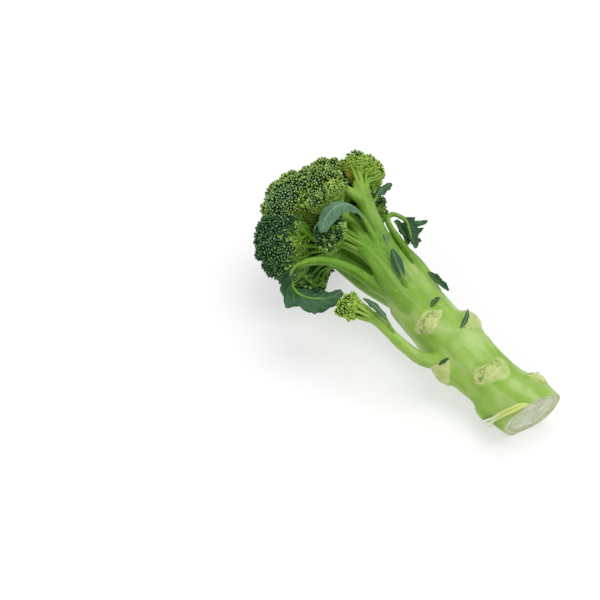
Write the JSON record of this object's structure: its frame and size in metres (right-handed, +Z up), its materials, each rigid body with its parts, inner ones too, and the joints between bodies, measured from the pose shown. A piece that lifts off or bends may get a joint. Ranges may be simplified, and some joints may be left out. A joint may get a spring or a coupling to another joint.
{
  "type": "broccoli head",
  "caption": "Broccoli head lying on its side: a domed crown of bud bunches on branches, a thick stem cut off square with leaf scars, a side shoot and small leaves.",
  "frame": {"origin": "middle of the bounding box, on the surface that the broccoli lies on", "axes": "+Z up, +X along the plant from the crown towards the cut foot of the stem"},
  "size_m": [0.2304, 0.1186, 0.092],
  "materials": {
    "stalk": "satin",
    "buds": "matte",
    "leaf": "satin"
  },
  "bodies": {
    "root": {"stalk": "stalk", "bunch_left": "buds", "bunch_upper_left": "buds", "bunch_upper_right": "buds", "bunch_right": "buds", "bunch_front": "buds", "bunch_front_right": "buds", "bunch_back_right": "buds", "bunch_back": "buds", "bunch_back_left": "buds", "bunch_under": "buds", "bunch_top_back": "buds", "bunch_side_shoot": "buds", "leaf_under": "leaf", "leaf_right": "leaf", "leaf_right_upper": "leaf", "leaf_tongue": "leaf", "leaf_fork": "leaf", "leaf_stem_right": "leaf", "leaf_side_shoot": "leaf"}
  },
  "joints": []
}
